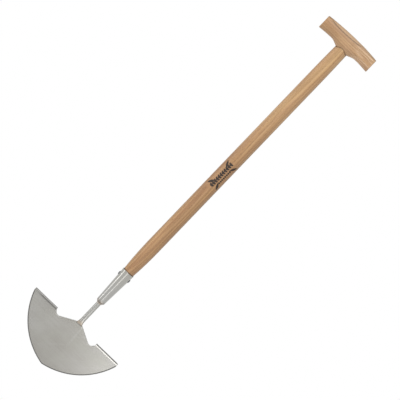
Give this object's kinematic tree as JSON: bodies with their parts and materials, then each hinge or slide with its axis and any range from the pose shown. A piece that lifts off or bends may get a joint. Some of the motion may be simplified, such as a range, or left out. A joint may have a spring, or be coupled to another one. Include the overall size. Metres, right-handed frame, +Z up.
{
  "type": "half-moon lawn edger",
  "caption": "Half-moon lawn edger: steel blade with two turned treads, slim neck, riveted conical socket, straight ash shaft and ash T-grip.",
  "frame": {"origin": "the blade's point, where the two cutting arcs meet, on the middle of the sheet", "axes": "+Z up the shaft towards the grip, +X across the blade to the right seen from the front, -Y to the front"},
  "size_m": [0.225, 0.034, 0.9133],
  "materials": {
    "blade_steel": "satin stainless sheet",
    "neck_steel": "brushed stainless bar",
    "weld_bead": "brushed weld with faint heat tint",
    "socket_steel": "polished stainless, fine turning marks",
    "rivet_steel": "dull dark steel",
    "shaft_ash": "oiled ash, long grain",
    "grip_ash": "oiled ash, long grain",
    "pin_dowel": "end grain, sanded flush"
  },
  "bodies": {
    "root": {"blade": "blade_steel", "neck": "neck_steel", "blade_weld": "weld_bead", "socket": "socket_steel", "socket_weld": "weld_bead", "socket_rivet": "rivet_steel", "shaft": "shaft_ash", "grip": "grip_ash", "grip_pin": "pin_dowel"}
  },
  "joints": []
}
